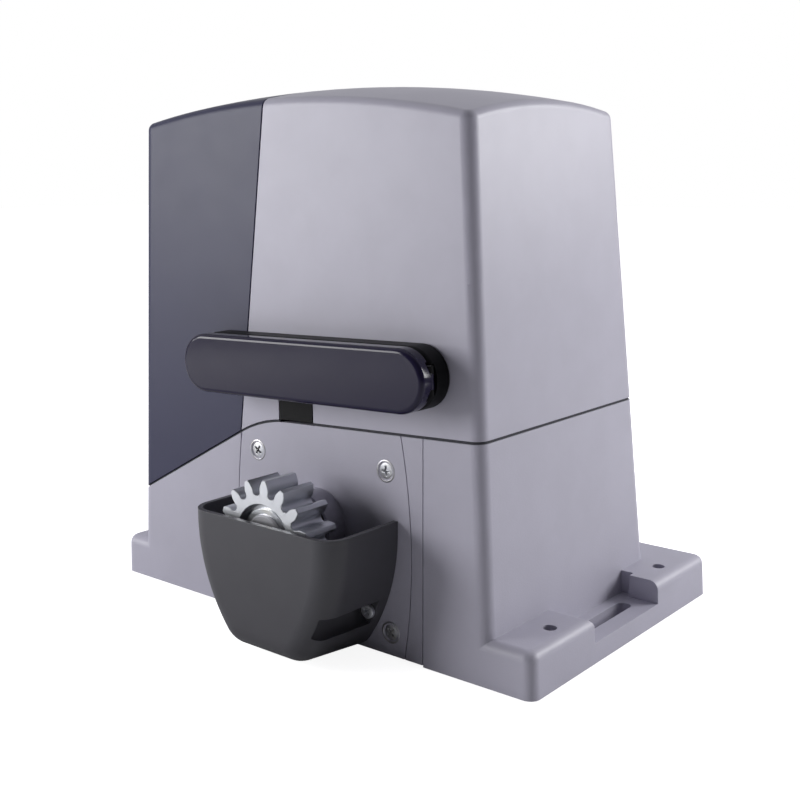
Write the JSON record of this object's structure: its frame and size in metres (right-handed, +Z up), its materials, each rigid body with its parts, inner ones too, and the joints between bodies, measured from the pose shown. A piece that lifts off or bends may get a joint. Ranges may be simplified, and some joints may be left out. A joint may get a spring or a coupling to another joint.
{
  "type": "sliding gate motor",
  "caption": "Sliding gate drive in a tapered housing: toothed pinion in a cup guard, lift-off crowned cover, front release bar and slotted feet.",
  "frame": {"origin": "middle of the base's footprint, on the floor", "axes": "+X along the gate to the right seen from the pinion side, +Y to the back, +Z up"},
  "size_m": [0.33, 0.2615, 0.3178],
  "materials": {
    "casting_grey": "fine textured grey paint on cast aluminium",
    "gearbox_grey": "fine textured grey paint on cast aluminium",
    "plate_grey": "fine textured grey paint on cast aluminium",
    "cover_grey": "light grey moulded plastic, fine grain",
    "panel_blue_grey": "dark slate moulded plastic",
    "gasket_rubber": "black rubber",
    "gland_rubber": "black rubber",
    "screw_zinc": "bright zinc",
    "bolt_zinc": "zinc plated",
    "guard_screw_zinc": "bright zinc",
    "seat_screw_zinc": "zinc plated",
    "tray_screw_zinc": "zinc plated",
    "cover_screw_zinc": "zinc plated",
    "cover_nut_zinc": "zinc plated",
    "bearing_steel_front": "ground steel",
    "bearing_steel_rear": "ground steel",
    "bearing_steel_worm": "ground steel",
    "bearing_steel_rotor": "ground steel",
    "seal_rubber": "nitrile rubber",
    "guard_charcoal": "charcoal moulded plastic",
    "shaft_steel": "turned steel",
    "pinion_zinc": "zinc plated steel, bright faced end",
    "key_steel": "bright steel",
    "circlip_steel": "blackened spring steel",
    "collar_steel": "turned steel",
    "disc_spring_steel": "spring steel",
    "sleeve_steel": "hardened steel",
    "wheel_bronze": "cast bronze",
    "worm_steel": "ground steel",
    "motor_shaft_steel": "ground steel",
    "can_paint": "black enamel on steel",
    "stator_iron": "varnished laminations",
    "winding_copper": "lacquered copper wire",
    "rotor_iron": "laminations with aluminium cage",
    "bell_aluminium": "as cast",
    "tie_bolt_zinc": "zinc plated",
    "magnet_ferrite": "bonded ferrite",
    "encoder_green": "green solder mask",
    "seat_black": "black moulded plastic",
    "lever_black": "gloss black moulded plastic",
    "pin_steel": "ground steel",
    "rod_steel": "bright steel",
    "crank_steel": "steel",
    "crank_pin_steel": "ground steel",
    "tray_plastic": "black moulded plastic",
    "board_green": "green solder mask",
    "terminal_green": "green plastic",
    "relay_blue": "blue plastic",
    "can_black": "black sleeve",
    "fuse_glass": "glass tube in nickel clips",
    "core_iron": "varnished laminations",
    "coil_tape": "yellow tape",
    "capacitor_white": "white plastic can",
    "clamp_steel": "zinc plated strap",
    "sensor_black": "black plastic",
    "stud_brass": "brass"
  },
  "bodies": {
    "base_body": {"base_casting": "casting_grey", "cover_gasket": "gasket_rubber", "cable_glands": "gland_rubber", "gearbox_housing": "gearbox_grey", "gear_plate": "plate_grey", "plate_screws": "screw_zinc", "gearbox_bolts": "bolt_zinc", "front_bearing": "bearing_steel_front", "rear_bearing": "bearing_steel_rear", "shaft_seal": "seal_rubber", "pinion_guard": "guard_charcoal", "guard_screws": "guard_screw_zinc", "worm_bearings": "bearing_steel_worm", "rotor_bearing": "bearing_steel_rotor", "motor_can": "can_paint", "stator_core": "stator_iron", "stator_windings": "winding_copper", "motor_end_bell": "bell_aluminium", "motor_tie_bolts": "tie_bolt_zinc", "encoder_board": "encoder_green", "release_seat": "seat_black", "seat_screws": "seat_screw_zinc", "lever_pin": "pin_steel", "crank_pin": "crank_pin_steel", "board_tray": "tray_plastic", "tray_screws": "tray_screw_zinc", "control_board": "board_green", "terminal_blocks": "terminal_green", "board_relays": "relay_blue", "board_capacitors": "can_black", "board_fuses": "fuse_glass", "transformer_core": "core_iron", "transformer_coil": "coil_tape", "run_capacitor": "capacitor_white", "capacitor_clamp": "clamp_steel", "limit_sensor": "sensor_black", "earth_stud": "stud_brass"},
    "release_lever_body": {"release_lever": "lever_black"},
    "release_crank_body": {"release_crank": "crank_steel"},
    "release_rod_body": {"release_rod": "rod_steel"},
    "clutch_sleeve_body": {"clutch_sleeve": "sleeve_steel"},
    "output_body": {"output_shaft": "shaft_steel", "pinion": "pinion_zinc", "pinion_key": "key_steel", "pinion_circlip": "circlip_steel", "shaft_collar": "collar_steel", "clutch_springs": "disc_spring_steel", "worm_wheel": "wheel_bronze"},
    "rotor_body": {"worm": "worm_steel", "motor_shaft": "motor_shaft_steel", "rotor_core": "rotor_iron", "encoder_magnet": "magnet_ferrite"},
    "cover_body": {"cover_shell": "cover_grey", "cover_side_panel": "panel_blue_grey", "cover_screws": "cover_screw_zinc", "cover_nuts": "cover_nut_zinc"}
  },
  "joints": [
    {"name": "pinion_spin", "type": "hinge", "parent": "base_body", "child": "output_body", "pos_m": [0.017, -0.138, 0.0695], "axis": [0, 1, 0], "continuous": true},
    {"name": "rotor_spin", "type": "hinge", "parent": "base_body", "child": "rotor_body", "pos_m": [0.0645, -0.048, 0.118], "axis": [0, 0, 1], "continuous": true},
    {"name": "lever_swing", "type": "hinge", "parent": "base_body", "child": "release_lever_body", "pos_m": [0.10825, -0.1186, 0.16397], "axis": [-0.0349, 0, 0.9994], "range_deg": [0, 90]},
    {"name": "rod_lift", "type": "slide", "parent": "base_body", "child": "release_rod_body", "axis": [0, 0, 1], "range_m": [0, 0.00342]},
    {"name": "crank_swing", "type": "hinge", "parent": "base_body", "child": "release_crank_body", "pos_m": [0.017, -0.066, 0.105], "axis": [1, 0, 0], "range_deg": [-7.42, 0]},
    {"name": "sleeve_slide", "type": "slide", "parent": "output_body", "child": "clutch_sleeve_body", "axis": [0, -1, 0], "range_m": [0, 0.0046]},
    {"name": "cover_lift", "type": "slide", "parent": "base_body", "child": "cover_body", "axis": [0, 0, 1], "range_m": [0, 0.22]}
  ],
  "couplings": [
    {"joint": "rotor_spin", "follows": "pinion_spin", "ratio": 30},
    {"joint": "rod_lift", "follows": "lever_swing", "m_per_rad": 0.0020515},
    {"joint": "crank_swing", "follows": "lever_swing", "ratio": -0.079108},
    {"joint": "sleeve_slide", "follows": "lever_swing", "m_per_rad": 0.0028011}
  ]
}
